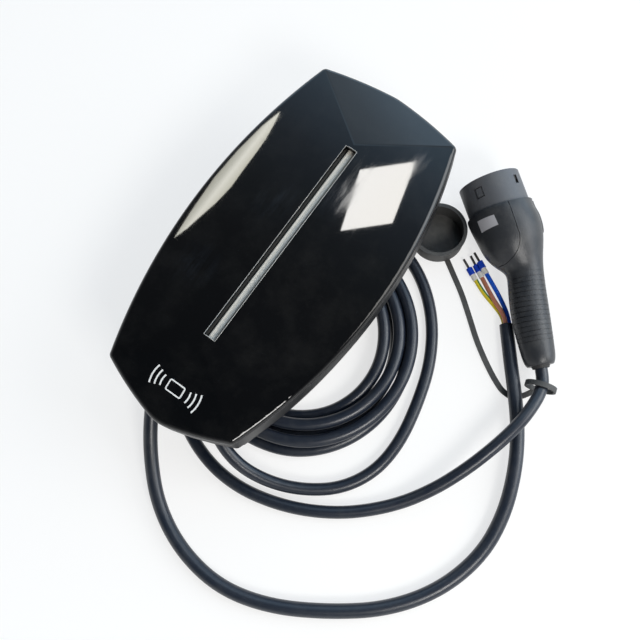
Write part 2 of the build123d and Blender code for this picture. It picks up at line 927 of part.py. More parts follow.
def lead_points():
    """Points of the charging lead from the coil into the connector's rear."""
    x, y, lean, _, _ = body_sections[-1]
    socket = [connector_at(across(x, y, lean) * Pos(0, 0, back)) for back in (lead_straight, 0)]
    return charge_lead_route + [tuple(spot.position) for spot in socket]


def ring_place():
    """Middle and heading of the lead where the strap's ring hangs on it."""
    a, b = [Vector(*p) for p in lead_points()[-3:-1]]
    return (a + b) / 2, (b - a).normalized()


def make_cap_strap():
    """Flat strap with a loose ring round the charging lead."""
    middle, heading = ring_place()
    inner = (middle.Z - floor_z + charge_diameter / 2 + ring_clearance - strap_thickness) / 2
    level = floor_z + strap_thickness + inner
    turn = Vector(heading.X, heading.Y).get_signed_angle(Vector(0, 1), Vector(0, 0, -1))
    stand = Pos(middle.X, middle.Y, level) * Rot(0, 0, turn) * Rot(90, 0, 0)
    bore = stand * Cylinder(inner, 2 * cap_radius)
    hoop = stand * Cylinder(inner + strap_thickness, ring_width) - bore
    route = [tuple(strap_start()[0])] + [(x, y, floor_z) for x, y in strap_route]
    route.append((middle.X, middle.Y, floor_z))
    path = FilletPolyline(*route, radius=corner_radii(route))
    section = Plane(path @ 0, x_dir=(0, 0, 1), z_dir=path % 0)
    profile = Pos(strap_thickness / 2, 0) * Rectangle(strap_thickness, strap_width)
    strap = sweep(section * profile, path=path)
    return hoop + (strap - bore)


# Bare wires of the supply cable: start, way and end of each, above the floor
wire_routes = {
    "blue": [(3.0, 0.5), (186.2, 105, 9.6), (168, 115, 9.4), (158, 120.4, 9.4)],
    "brown": [(-1.2, 2.9), (182.8, 99.4, 7.5), (166, 110.5, 3.5), (156, 116.5, 3.5)],
    "earth": [(-1.5, -2.9), (184, 97, 3.0), (172.5, 100.5, 3.0), (163, 104.6, 3.4), (152.4, 110.3, 3.4)],
}


def wire_points(name):
    """Points of one bare wire from the sheath's end to its sleeve."""
    end = Vector(*supply_route[-1])
    back = (end - Vector(*supply_route[-2])).normalized()
    side = Vector(-back.Y, back.X).normalized()
    (across_sheath, above), *way = wire_routes[name]
    start = end - side * across_sheath + back.cross(side) * above
    lead_out = start + back * wire_straight
    return [tuple(start), tuple(lead_out)] + [(x, y, floor_z + z) for x, y, z in way]


def wire_end(name):
    """Plane at a wire's cut end, looking out along it."""
    points = wire_points(name)
    a, b = Vector(*points[-2]), Vector(*points[-1])
    return Plane(b, z_dir=b - a)


def make_ferrule(diameter, start, length, bore=0.0, bore_depth=0.0):
    """One sleeve, collar or pin on each wire, at a distance past the wire's end."""
    pieces = []
    for name in wire_routes:
        piece = rod(diameter / 2, start, start + length)
        if bore:
            piece -= rod(bore / 2, start - 1, start + bore_depth)
        pieces.append(wire_end(name).location * piece)
    return pieces


wire_grip = 4.0
wire_bore = wire_diameter + 2 * wire_clearance
pieces = {
    "front_cover": make_front_cover(),
    "light_bar": make_light_bar(),
    "light_board": make_light_board(),
    "light_chips": make_light_chips(),
    "rear_housing": make_rear_housing(),
    "cover_seal": make_cover_seal(),
    "cover_screws": make_cover_screws(),
    "bracket_inserts": make_bracket_inserts(),
    "main_board": make_main_board(),
    "board_screws": make_board_screws(),
    "card_reader_board": make_card_reader_board(),
    "reader_screws": make_reader_screws(),
    "power_relays": make_power_relays(),
    "power_module": make_power_module(),
    "capacitors": make_capacitors(),
    "current_sensor": make_current_sensor(),
    "supply_terminals": make_terminals(supply_poles, supply_block_x),
    "output_terminals": make_terminals(charge_poles, charge_block_x),
    "supply_cores": make_cores(supply_poles, supply_block_x, supply_x),
    "charge_cores": make_cores(charge_poles, charge_block_x, charge_x),
    "supply_gland_body": make_gland_body(supply_x),
    "supply_gland_nut": make_gland_nut(supply_x, supply_diameter),
    "supply_gland_seal": make_gland_seal(supply_x, supply_diameter),
    "supply_gland_locknut": make_gland_locknut(supply_x),
    "charge_gland_body": make_gland_body(charge_x),
    "charge_gland_nut": make_gland_nut(charge_x, charge_diameter),
    "charge_gland_seal": make_gland_seal(charge_x, charge_diameter),
    "charge_gland_locknut": make_gland_locknut(charge_x),
    "supply_cable": tube(supply_route, supply_diameter, "supply_cable"),
    "charge_cable_start": tube(charge_start_route, charge_diameter, "charge_cable_start"),
    "charge_cable_coil": make_coil(),
    "charge_cable_lead": tube(lead_points(), charge_diameter, "charge_cable_lead"),
    "connector_shroud": make_connector_shroud(),
    "connector_body": make_connector_body(),
    "connector_panel": make_connector_panel(),
    "connector_bush": make_connector_bush(),
    "contact_carrier": make_contact_carrier(),
    "contact_sleeves": make_contact_sleeves(),
    "dust_cap": make_dust_cap(),
    "cap_strap": make_cap_strap(),
    "conductor_blue": tube(wire_points("blue"), wire_diameter),
    "conductor_brown": tube(wire_points("brown"), wire_diameter),
    "conductor_earth": tube(wire_points("earth"), wire_diameter),
    "ferrule_sleeves": make_ferrule(sleeve_diameter, -wire_grip, sleeve_length, wire_bore, wire_grip),
    "ferrule_collars": make_ferrule(collar_diameter, sleeve_length - wire_grip, collar_length),
    "ferrule_pins": make_ferrule(pin_diameter, sleeve_length - wire_grip + collar_length, pin_length),
}

os.makedirs("parts", exist_ok=True)
for node, shape in pieces.items():
    solids = [s for piece in (shape if isinstance(shape, list) else [shape]) for s in piece.solids()]
    export_step(solids[0] if len(solids) == 1 else Compound(children=solids), f"parts/{node}.step")
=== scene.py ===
import bpy
import bmesh
import math
from mathutils import Matrix, Vector
from mathutils.bvhtree import BVHTree


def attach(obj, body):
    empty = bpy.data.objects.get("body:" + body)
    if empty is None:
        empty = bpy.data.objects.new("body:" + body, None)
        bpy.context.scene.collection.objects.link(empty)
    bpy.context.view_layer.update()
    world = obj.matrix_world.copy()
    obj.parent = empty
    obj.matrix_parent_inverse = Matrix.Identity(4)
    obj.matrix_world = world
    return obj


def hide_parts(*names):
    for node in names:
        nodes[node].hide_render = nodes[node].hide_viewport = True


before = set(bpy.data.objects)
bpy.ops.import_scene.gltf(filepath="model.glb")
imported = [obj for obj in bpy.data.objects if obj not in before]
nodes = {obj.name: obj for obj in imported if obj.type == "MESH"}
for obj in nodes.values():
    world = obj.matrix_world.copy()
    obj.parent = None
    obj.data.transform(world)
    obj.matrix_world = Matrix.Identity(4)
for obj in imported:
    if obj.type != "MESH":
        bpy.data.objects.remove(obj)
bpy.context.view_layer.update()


# Rear housing: one moulding in black glass-filled plastic, with a spark-eroded satin skin.
# It carries the wall bracket's seat on its back, and its foot is an open pocket for the cables.
def feed(tree, value, socket):
    """Link an output to a socket, or put a plain value in it."""
    if isinstance(value, bpy.types.NodeSocket):
        tree.links.new(value, socket)
    else:
        socket.default_value = value


def sums(tree, operation, *values, clamp=False):
    """Output of a maths node on links or plain numbers."""
    node = tree.nodes.new("ShaderNodeMath")
    node.operation = operation
    node.use_clamp = clamp
    for value, socket in zip(values, node.inputs):
        feed(tree, value, socket)
    return node.outputs[0]


def ranged(tree, value, low, high, most=1.0, smooth=False):
    """A value mapped from the range low to high onto 0 to most, and held there."""
    node = tree.nodes.new("ShaderNodeMapRange")
    if smooth:
        node.interpolation_type = "SMOOTHSTEP"
    node.inputs["From Min"].default_value = low
    node.inputs["From Max"].default_value = high
    node.inputs["To Max"].default_value = most
    tree.links.new(value, node.inputs["Value"])
    return node.outputs["Result"]


def noise(tree, place, scale, detail, roughness=0.5):
    """Noise at a place. Its scale is a link or a plain number."""
    node = tree.nodes.new("ShaderNodeTexNoise")
    node.inputs["Detail"].default_value = detail
    node.inputs["Roughness"].default_value = roughness
    tree.links.new(place, node.inputs["Vector"])
    feed(tree, scale, node.inputs["Scale"])
    return node.outputs["Fac"]


def mixed(tree, factor, first, second, blend="MIX"):
    """Two colours mixed by a factor. Each is a link or a plain value."""
    node = tree.nodes.new("ShaderNodeMix")
    node.data_type = "RGBA"
    node.blend_type = blend
    feed(tree, factor, node.inputs["Factor"])
    feed(tree, first, node.inputs["A"])
    feed(tree, second, node.inputs["B"])
    return node.outputs["Result"]


def object_place(tree):
    """Place on the object."""
    return tree.nodes.new("ShaderNodeTexCoord").outputs["Object"]


def facing_up(tree):
    """How far the surface faces up, from -1 to 1."""
    surface = tree.nodes.new("ShaderNodeNewGeometry")
    split = tree.nodes.new("ShaderNodeSeparateXYZ")
    tree.links.new(surface.outputs["Normal"], split.inputs[0])
    return split.outputs["Z"]


def new_group(name, inputs, outputs):
    """Empty shader node group with float, colour or vector sockets."""
    group = bpy.data.node_groups.new(name, "ShaderNodeTree")
    for socket, kind, value in inputs:
        made = group.interface.new_socket(socket, in_out="INPUT", socket_type=kind)
        made.default_value = value
    for socket, kind in outputs:
        group.interface.new_socket(socket, in_out="OUTPUT", socket_type=kind)
    return group, group.nodes.new("NodeGroupInput").outputs, group.nodes.new("NodeGroupOutput").inputs


def make_skin_group():
    """Grain of a moulded skin: a fine bump, and a gloss that drifts from place to place."""
    group, given, put = new_group(
        "moulded_skin",
        [
            ("Grain Scale", "NodeSocketFloat", 900.0),
            ("Grain Depth", "NodeSocketFloat", 0.1),
            ("Roughness", "NodeSocketFloat", 0.4),
            ("Drift", "NodeSocketFloat", 0.08),
            ("Drift Scale", "NodeSocketFloat", 14.0),
        ],
        [("Roughness", "NodeSocketFloat"), ("Normal", "NodeSocketVector")],
    )
    bump_height = 0.0004
    place = object_place(group)
    bump = group.nodes.new("ShaderNodeBump")
    bump.inputs["Distance"].default_value = bump_height
    group.links.new(given["Grain Depth"], bump.inputs["Strength"])
    group.links.new(noise(group, place, given["Grain Scale"], 3.0), bump.inputs["Height"])
    drift = sums(group, "SUBTRACT", noise(group, place, given["Drift Scale"], 5.0), 0.5)
    spread = sums(group, "MULTIPLY_ADD", drift, given["Drift"], given["Roughness"], clamp=True)
    group.links.new(spread, put["Roughness"])
    group.links.new(bump.outputs["Normal"], put["Normal"])
    return group


def make_dust_group():
    """Pale dust that lies in patches on what faces up."""
    group, given, put = new_group(
        "settled_dust",
        [
            ("Colour", "NodeSocketColor", (0.02, 0.02, 0.02, 1.0)),
            ("Dust", "NodeSocketColor", (0.2, 0.19, 0.17, 1.0)),
            ("Amount", "NodeSocketFloat", 0.1),
            ("Scale", "NodeSocketFloat", 40.0),
        ],
        [("Colour", "NodeSocketColor")],
    )
    patches = ranged(group, noise(group, object_place(group), given["Scale"], 6.0, 0.7), 0.45, 0.75)
    lying = sums(group, "MULTIPLY", patches, ranged(group, facing_up(group), -0.2, 1.0))
    share = sums(group, "MULTIPLY", lying, given["Amount"])
    group.links.new(mixed(group, share, given["Colour"], given["Dust"]), put["Colour"])
    return group


moulded_skin = make_skin_group()
settled_dust = make_dust_group()


def finish_material(
    name, colour, roughness, grain=(900.0, 0.1), drift=(0.08, 14.0), dust=(0.1, 40.0), **sockets
):
    """Material with the skin's grain and a little dust. Further sockets of the shader are set by name."""
    material = bpy.data.materials.new(name)
    material.use_nodes = True
    tree = material.node_tree
    shader = tree.nodes["Principled BSDF"]
    skin = tree.nodes.new("ShaderNodeGroup")
    skin.node_tree = moulded_skin
    skin.inputs["Grain Scale"].default_value, skin.inputs["Grain Depth"].default_value = grain
    skin.inputs["Roughness"].default_value = roughness
    skin.inputs["Drift"].default_value, skin.inputs["Drift Scale"].default_value = drift
    tree.links.new(skin.outputs["Roughness"], shader.inputs["Roughness"])
    tree.links.new(skin.outputs["Normal"], shader.inputs["Normal"])
    dirt = tree.nodes.new("ShaderNodeGroup")
    dirt.node_tree = settled_dust
    dirt.inputs["Colour"].default_value = (*colour, 1.0)
    dirt.inputs["Amount"].default_value, dirt.inputs["Scale"].default_value = dust
    tree.links.new(dirt.outputs["Colour"], shader.inputs["Base Color"])
    for socket, value in sockets.items():
        shader.inputs[socket.replace("_", " ")].default_value = value
    return material


def dress(material, *names):
    """Give CAD pieces a material in place of their plain one."""
    for name in names:
        mesh = nodes[name].data
        mesh.materials.clear()
        mesh.materials.append(material)


housing_skin = finish_material(
    "housing_skin", (0.016, 0.017, 0.02), 0.42, grain=(1400.0, 0.35), drift=(0.14, 18.0)
)
dress(housing_skin, "rear_housing")


# Seal, screws and bracket inserts: a flat ring of black cellular rubber between cover and housing,
# zinc-plated pan-head screws driven from the back, and brass bushes pressed in for the wall bracket.
seal_rubber = finish_material(
    "seal_rubber", (0.02, 0.02, 0.02), 0.75, grain=(2200.0, 0.5), drift=(0.1, 30.0)
)
dress(seal_rubber, "cover_seal")
zinc_plate = finish_material(
    "zinc_plate", (0.56, 0.56, 0.53), 0.32,
    grain=(3000.0, 0.08), drift=(0.25, 160.0), dust=(0.15, 300.0), Metallic=1.0,
)
dress(zinc_plate, "cover_screws", "board_screws", "reader_screws")
insert_brass = finish_material(
    "insert_brass", (0.62, 0.42, 0.14), 0.3,
    grain=(2600.0, 0.1), drift=(0.2, 120.0), dust=(0.12, 200.0), Metallic=1.0,
)
dress(insert_brass, "bracket_inserts")


# Boards and what stands on them: green solder-masked boards, black relays, a potted blue supply
# module, sleeved capacitors, a ring sensor, green terminal blocks and the cores clamped in them.
def recolour(material, colour):
    """Feed a material's colour, under its dust, from an output."""
    tree = material.node_tree
    dirt = next(n for n in tree.nodes if n.type == "GROUP" and n.node_tree == settled_dust)
    tree.links.new(colour, dirt.inputs["Colour"])


def board_material():
    """Green solder mask over a faint weave, with a darker run of copper tracks under it."""
    green = (0.012, 0.1, 0.04)
    material = finish_material("solder_mask", green, 0.3, grain=(1800.0, 0.1), dust=(0.06, 60.0))
    tree = material.node_tree
    tracks = tree.nodes.new("ShaderNodeTexBrick")
    tracks.inputs["Scale"].default_value = 90.0
    tracks.inputs["Color1"].default_value = (*green, 1.0)
    tracks.inputs["Color2"].default_value = (0.016, 0.13, 0.05, 1.0)
    tracks.inputs["Mortar"].default_value = (0.006, 0.06, 0.025, 1.0)
    tree.links.new(object_place(tree), tracks.inputs["Vector"])
    recolour(material, tracks.outputs["Color"])
    return material


dress(board_material(), "main_board", "card_reader_board", "light_board")
relay_case = finish_material("relay_case", (0.018, 0.018, 0.018), 0.45, grain=(1200.0, 0.2))
dress(relay_case, "power_relays", "current_sensor")
module_potting = finish_material("module_potting", (0.015, 0.03, 0.12), 0.35, grain=(500.0, 0.1))
dress(module_potting, "power_module")
can_sleeve = finish_material("can_sleeve", (0.02, 0.02, 0.03), 0.3, grain=(1600.0, 0.06))
dress(can_sleeve, "capacitors")
terminal_green = finish_material("terminal_green", (0.02, 0.16, 0.06), 0.4, grain=(1200.0, 0.15))
dress(terminal_green, "supply_terminals", "output_terminals")
core_sheath = finish_material("core_sheath", (0.02, 0.02, 0.022), 0.35, grain=(700.0, 0.06))
dress(core_sheath, "supply_cores", "charge_cores")


# Cable glands: hexagonal black polyamide bodies with dome nuts, each squeezing a rubber sleeve
# onto its cable, and held in the pocket's wall by a lock nut inside.
gland_nylon = finish_material(
    "gland_nylon", (0.017, 0.017, 0.019), 0.34, grain=(1000.0, 0.12), drift=(0.12, 60.0)
)
for use in ("supply", "charge"):
    dress(gland_nylon, f"{use}_gland_body", f"{use}_gland_nut", f"{use}_gland_locknut")
    dress(seal_rubber, f"{use}_gland_seal")


# Front cover: one polished piano-black moulding whose face is cut like a gem, with soft hips.
# Wiping leaves faint smears in the gloss and hands leave a few dull spots, while the upright
# flank under the rim is satin.
MM = 0.001


def cover_material():
    """Polished black plastic: clear gloss, wiping smears, hand marks and a satin flank."""
    black, film = (0.0018, 0.0019, 0.0023), (0.014, 0.018, 0.025, 1.0)
    smear_dulls, mark_dulls, flank_dulls = 0.07, 0.16, 0.4
    hand_marks = (((16, 64, 93), 30), ((52, 142, 85), 20), ((-30, 30, 90), 30), ((-58, -60, 84), 30))
    material = finish_material(
        "piano_black", black, 0.02, grain=(26.0, 0.006), drift=(0.02, 9.0), dust=(0.03, 24.0)
    )
    tree = material.node_tree
    shader = tree.nodes["Principled BSDF"]
    shader.inputs["IOR"].default_value = 1.5
    place = object_place(tree)
    wiped = tree.nodes.new("ShaderNodeMapping")
    wiped.inputs["Rotation"].default_value = (0.0, 0.0, 0.6)
    wiped.inputs["Scale"].default_value = (60.0, 9.0, 9.0)
    tree.links.new(place, wiped.inputs["Vector"])
    smears = noise(tree, wiped.outputs["Vector"], 1.0, 8.0, 0.75)
    skin = next(n for n in tree.nodes if n.type == "GROUP" and n.node_tree == moulded_skin)
    smeared = sums(tree, "ADD", skin.outputs["Roughness"], ranged(tree, smears, 0.56, 0.8, smear_dulls))
    touched = 0.0
    for spot, reach in hand_marks:
        gap = tree.nodes.new("ShaderNodeVectorMath")
        gap.operation = "DISTANCE"
        gap.inputs[1].default_value = [v * MM for v in spot]
        tree.links.new(place, gap.inputs[0])
        patch = ranged(tree, gap.outputs["Value"], reach * MM, 0.0, smooth=True)
        touched = sums(tree, "MAXIMUM", touched, patch)
    marks = sums(tree, "MULTIPLY", touched, ranged(tree, smears, 0.44, 0.74))
    marked = sums(tree, "MULTIPLY_ADD", marks, mark_dulls, smeared)
    flank = ranged(tree, facing_up(tree), 0.3, 0.1, flank_dulls)
    tree.links.new(sums(tree, "ADD", marked, flank), shader.inputs["Roughness"])
    recolour(material, mixed(tree, marks, (*black, 1.0), film))
    return material


dress(cover_material(), "front_cover")


# Light bar: a strip of grey frosted plastic in a trough along the ridge, with yellow light chips
# on a board under it. Its face has fine lengthwise extrusion lines.
def colour_ramp(tree, value, stops):
    """Colours along a value, given as positions and colours from low to high."""
    node = tree.nodes.new("ShaderNodeValToRGB")
    marks = node.color_ramp.elements
    while len(marks) < len(stops):
        marks.new(0.5)
    for mark, (position, colour) in zip(marks, stops):
        mark.position = position
        mark.color = (*colour, 1.0)
    tree.links.new(value, node.inputs["Fac"])
    return node.outputs["Color"]


def bar_material():
    """Frosted grey strip with fine lines along it."""
    material = finish_material(
        "frosted_strip", (0.33, 0.33, 0.31), 0.38, grain=(1500.0, 0.08), dust=(0.05, 90.0)
    )
    tree = material.node_tree
    lines = tree.nodes.new("ShaderNodeMapping")
    lines.inputs["Scale"].default_value = (1600.0, 6.0, 6.0)
    tree.links.new(object_place(tree), lines.inputs["Vector"])
    drawn = noise(tree, lines.outputs["Vector"], 1.0, 2.0)
    recolour(material, colour_ramp(tree, drawn, [(0.0, (0.62, 0.58, 0.51)), (1.0, (0.92, 0.87, 0.77))]))
    return material


dress(bar_material(), "light_bar")
chip_phosphor = finish_material("chip_phosphor", (0.6, 0.5, 0.12), 0.25, grain=(900.0, 0.1))
dress(chip_phosphor, "light_chips")


# Slot bead: a thin pale round bead laid round the trough's mouth. It follows the edge between trough and
# facets. Its pale grey colour is a painted reflection, standing in for the light guide's sides reflected at
# the trough's edges. Its glossy round back also catches the lamps as a real fine light line.
scene = bpy.context.scene


def link_piece(name, data):
    """New object for a mesh or a curve, in the scene."""
    piece = bpy.data.objects.new(name, data)
    scene.collection.objects.link(piece)
    return piece


def new_shape_tree(name, inputs):
    """Empty geometry node tree with the given inputs and a mesh as its output."""
    tree = bpy.data.node_groups.new(name, "GeometryNodeTree")
    for socket, kind, value in inputs:
        made = tree.interface.new_socket(socket, in_out="INPUT", socket_type=kind)
        if value is not None:
            made.default_value = value
    tree.interface.new_socket("Mesh", in_out="OUTPUT", socket_type="NodeSocketGeometry")
    return tree, tree.nodes.new("NodeGroupInput").outputs, tree.nodes.new("NodeGroupOutput").inputs


def bead_tree(plastic):
    """Node tree that runs a round bead along the edges of a mesh."""
    tree, given, put = new_shape_tree("edge_bead", [
        ("Edge", "NodeSocketGeometry", None),
        ("Radius", "NodeSocketFloat", 0.0004),
        ("Sides", "NodeSocketInt", 10),
    ])
    path = tree.nodes.new("GeometryNodeMeshToCurve")
    tree.links.new(given["Edge"], path.inputs["Mesh"])
    ring = tree.nodes.new("GeometryNodeCurvePrimitiveCircle")
    tree.links.new(given["Radius"], ring.inputs["Radius"])
    tree.links.new(given["Sides"], ring.inputs["Resolution"])
    sweep = tree.nodes.new("GeometryNodeCurveToMesh")
    tree.links.new(path.outputs["Curve"], sweep.inputs["Curve"])
    tree.links.new(ring.outputs["Curve"], sweep.inputs["Profile Curve"])
    real = tree.nodes.new("GeometryNodeRealizeInstances")
    tree.links.new(sweep.outputs[0], real.inputs[0])
    coat = tree.nodes.new("GeometryNodeSetMaterial")
    coat.inputs["Material"].default_value = plastic
    tree.links.new(real.outputs[0], coat.inputs[0])
    tree.links.new(coat.outputs[0], put[0])
    return tree


def grow(seed, tree, **sizes):
    """Plain mesh that a node tree makes from a seed object, which is then removed."""
    names = {item.name: item.identifier for item in tree.interface.items_tree if item.in_out == "INPUT"}
    maker = seed.modifiers.new("maker", "NODES")
    maker.node_group = tree
    for socket, value in sizes.items():
        maker[names[socket.replace("_", " ")]] = value
    mesh = bpy.data.meshes.new_from_object(seed.evaluated_get(bpy.context.evaluated_depsgraph_get()))
    bpy.data.objects.remove(seed)
    return mesh


# Painted reflection: the bead's opaque pale grey draws the light line along the trough's edges, on top of
# what its gloss reflects.
bead_painted_reflection = finish_material(
    "bead_painted_reflection", (0.36, 0.35, 0.33), 0.12, grain=(900.0, 0.02), dust=(0.04, 90.0)
)
slot_edge, slot_end, edge_z, ridge_z = 6.15 * MM, 109.0 * MM, 95.6 * MM, 97.0 * MM
bead_radius, bead_sides = 0.42 * MM, 10
mouth_corners = [
    (-slot_edge, -slot_end, edge_z), (-slot_edge, slot_end, edge_z), (0.0, slot_end, ridge_z),
    (slot_edge, slot_end, edge_z), (slot_edge, -slot_end, edge_z), (0.0, -slot_end, ridge_z),
]
mouth = bpy.data.meshes.new("slot_mouth")
mouth.from_pydata(mouth_corners, [(i, (i + 1) % len(mouth_corners)) for i in range(len(mouth_corners))], [])
bead_mesh = grow(link_piece("slot_mouth", mouth), bead_tree(bead_painted_reflection), Radius=bead_radius, Sides=bead_sides)
slot_bead = link_piece("slot_bead", bead_mesh)
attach(slot_bead, "root")


# Card sign: a white screen print on the lower facet that shows where a card is held. Three arcs
# spread from each side of a blank card, all in one thin coat of ink.
def drop_on(name):
    """Function that gives the height of a CAD piece's upper face under a point."""
    mesh = nodes[name].data
    faces = BVHTree.FromPolygons([v.co for v in mesh.vertices], [p.vertices for p in mesh.polygons])
    above = 0.5

    def height(x, y):
        return faces.ray_cast(Vector((x, y, above)), Vector((0.0, 0.0, -1.0)))[0].z
    return height


def arc_tree(ink):
    """Node tree that makes nested arcs as flat ribbons, each one longer than the last."""
    tree, given, put = new_shape_tree("card_arcs", [
        ("Arcs", "NodeSocketInt", 3),
        ("First Radius", "NodeSocketFloat", 0.02),
        ("Step", "NodeSocketFloat", 0.0056),
        ("Half Angle", "NodeSocketFloat", 0.42),
        ("Ribbon", "NodeSocketFloat", 0.0011),
    ])
    spots = tree.nodes.new("GeometryNodePoints")
    tree.links.new(given["Arcs"], spots.inputs["Count"])
    arc = tree.nodes.new("GeometryNodeCurveArc")
    arc.mode = "RADIUS"
    arc.inputs["Resolution"].default_value = 24
    arc.inputs["Radius"].default_value = 1.0
    tree.links.new(sums(tree, "MULTIPLY", given["Half Angle"], 2.0), arc.inputs["Sweep Angle"])
    tree.links.new(sums(tree, "MULTIPLY", given["Half Angle"], -1.0), arc.inputs["Start Angle"])
    number = tree.nodes.new("GeometryNodeInputIndex").outputs[0]
    copies = tree.nodes.new("GeometryNodeInstanceOnPoints")
    tree.links.new(spots.outputs[0], copies.inputs["Points"])
    tree.links.new(arc.outputs["Curve"], copies.inputs["Instance"])
    reach = sums(tree, "MULTIPLY_ADD", number, given["Step"], given["First Radius"])
    tree.links.new(reach, copies.inputs["Scale"])
    real = tree.nodes.new("GeometryNodeRealizeInstances")
    tree.links.new(copies.outputs[0], real.inputs[0])
    edge = tree.nodes.new("GeometryNodeCurvePrimitiveLine")
    for share, socket in ((-0.5, "Start"), (0.5, "End")):
        point = tree.nodes.new("ShaderNodeCombineXYZ")
        tree.links.new(sums(tree, "MULTIPLY", given["Ribbon"], share), point.inputs["X"])
        tree.links.new(point.outputs[0], edge.inputs[socket])
    ribbon = tree.nodes.new("GeometryNodeCurveToMesh")
    tree.links.new(real.outputs[0], ribbon.inputs["Curve"])
    tree.links.new(edge.outputs["Curve"], ribbon.inputs["Profile Curve"])
    coat = tree.nodes.new("GeometryNodeSetMaterial")
    coat.inputs["Material"].default_value = ink
    tree.links.new(ribbon.outputs[0], coat.inputs[0])
    tree.links.new(coat.outputs[0], put[0])
    return tree


def face_up(shape):
    """Turn each face of a flat shape to look up."""
    for face in shape.faces:
        face.normal_update()
        if face.normal.z < 0.0:
            face.normal_flip()


sign_ink = finish_material(
    "sign_ink", (0.86, 0.86, 0.84), 0.4, grain=(4000.0, 0.1), dust=(0.06, 200.0)
)
sign_x, sign_y = 0.0, -162.0 * MM
ink_height = 0.12 * MM
arc_sizes = {
    "Arcs": 3, "First_Radius": 14.8 * MM, "Step": 5.2 * MM, "Ribbon": 1.55 * MM, "Half_Angle": 0.36,
}
arcs = arc_tree(sign_ink)
sign = bmesh.new()
for side in (1.0, -1.0):
    arc_mesh = grow(link_piece("arc_seed", bpy.data.meshes.new("arc_seed")), arcs, **arc_sizes)
    arc_mesh.transform(Matrix.Translation((sign_x, sign_y, 0.0)) @ Matrix.Scale(side, 4, (1.0, 0.0, 0.0)))
    sign.from_mesh(arc_mesh)
card_half, card_rise, card_corner, card_line = 8.6 * MM, 5.6 * MM, 1.9 * MM, 1.3 * MM
corner_steps = 6


def card_ring(inset):
    """Corner points of the card's rounded outline, moved in by inset."""
    ring = []
    for quarter, (sx, sy) in enumerate(((1, 1), (-1, 1), (-1, -1), (1, -1))):
        for step in range(corner_steps + 1):
            angle = (quarter + step / corner_steps) * math.pi / 2
            x = sx * (card_half - card_corner) + (card_corner - inset) * math.cos(angle)
            y = sy * (card_rise - card_corner) + (card_corner - inset) * math.sin(angle)
            ring.append(sign.verts.new((sign_x + x, sign_y + y, 0.0)))
    return ring


outside, inside = card_ring(0.0), card_ring(card_line)
for i in range(len(outside)):
    sign.faces.new((outside[i - 1], outside[i], inside[i], inside[i - 1]))
cover_height = drop_on("front_cover")
for vert in sign.verts:
    vert.co.z = cover_height(vert.co.x, vert.co.y) + ink_height
face_up(sign)
sign_mesh = bpy.data.meshes.new("card_sign")
sign.to_mesh(sign_mesh)
sign.free()
sign_mesh.materials.append(sign_ink)
card_sign = link_piece("card_sign", sign_mesh)
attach(card_sign, "root")


# Supply cable: 14 mm of round black rubber sheath from the left gland to a stripped end. It drops
# out of the pocket and lies round in one wide loop, under the lead and over the cap's strap.
def sheath_material(name, colour, roughness):
    """Extruded rubber sheath: blue-black, satin, with chalky patches where it has rubbed."""
    return finish_material(
        name, colour, roughness,
        grain=(420.0, 0.03), drift=(0.16, 26.0), dust=(0.1, 55.0), Specular_IOR_Level=0.6,
    )


def lay_cord(name, points, diameter, material):
    """Round cord on one smooth spline, with the points as its control points."""
    curve = bpy.data.curves.new(name, "CURVE")
    curve.dimensions = "3D"
    curve.bevel_depth = diameter / 2
    curve.bevel_resolution = 7
    curve.resolution_u = 10
    curve.use_fill_caps = True
    spline = curve.splines.new("NURBS")
    spline.points.add(len(points) - 1)
    for spot, point in zip(spline.points, points):
        spot.co = (*point, 1.0)
    spline.order_u = 3
    spline.use_endpoint_u = True
    curve.materials.append(material)
    return link_piece(name, curve)


def placed(points, level=0.0):
    """Points given in millimetres, with their heights counted from a level."""
    return [(x * MM, y * MM, level + z * MM) for x, y, z in points]


floor_z = -31.5 * MM
gland_y, gland_z = -103.0 * MM, 22.0 * MM
inside_y = -84.0 * MM
supply_diameter = 14.0 * MM
supply_x = -52.0 * MM
supply_rest = floor_z + supply_diameter / 2
supply_points = [(supply_x, inside_y, gland_z), (supply_x, -118.0 * MM, gland_z)]
supply_points += placed([(-47, -155, 14), (-31, -193, 0), (-8, -229, -15), (25, -262, -23)])
supply_points += placed([
    (69, -283, 0), (120, -289, 0), (170, -275, 0), (219, -246, 0), (262, -212, 0), (293, -169, 0),
    (308, -120, 0), (305, -75, 1.5), (290, -32, 5), (271, 2, 5.5), (250, 30, 4.5), (229, 56, 2),
    (206.8, 84.8, 0),
], supply_rest)
supply_sheath = sheath_material("supply_sheath", (0.011, 0.0165, 0.028), 0.36)
supply_cord = lay_cord("supply_cord", supply_points, supply_diameter, supply_sheath)
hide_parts("supply_cable")
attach(supply_cord, "root")


# Stripped wires: blue, brown and green-and-yellow cores that fan out of the cut sheath. Each has
# a white sleeve, a blue collar and a crimped pin, which keep their solids.
wire_diameter = 4.6 * MM
wire_straight = 9.0 * MM
sheath_end = Vector(supply_points[-1])
sheath_back = (sheath_end - Vector(supply_points[-2])).normalized()
sheath_side = Vector((-sheath_back.y, sheath_back.x, 0.0)).normalized()
sheath_up = sheath_back.cross(sheath_side)


def wire_material(name, colour, roughness=0.32):
    """Smooth coloured insulation."""
    return finish_material(name, colour, roughness, grain=(900.0, 0.05), dust=(0.04, 90.0))


def stripe_material():
    """Green insulation with a yellow stripe along one flank."""
    green, yellow = (0.01, 0.22, 0.05, 1.0), (0.85, 0.68, 0.03, 1.0)
    stripe_way = (-0.66, -0.66, 0.36)
    material = wire_material("wire_earth", (0.01, 0.12, 0.03))
    tree = material.node_tree
    surface = tree.nodes.new("ShaderNodeNewGeometry")
    flank = tree.nodes.new("ShaderNodeVectorMath")
    flank.operation = "DOT_PRODUCT"
    flank.inputs[1].default_value = stripe_way
    tree.links.new(surface.outputs["Normal"], flank.inputs[0])
    recolour(material, mixed(tree, ranged(tree, flank.outputs["Value"], 0.22, 0.3), green, yellow))
    return material


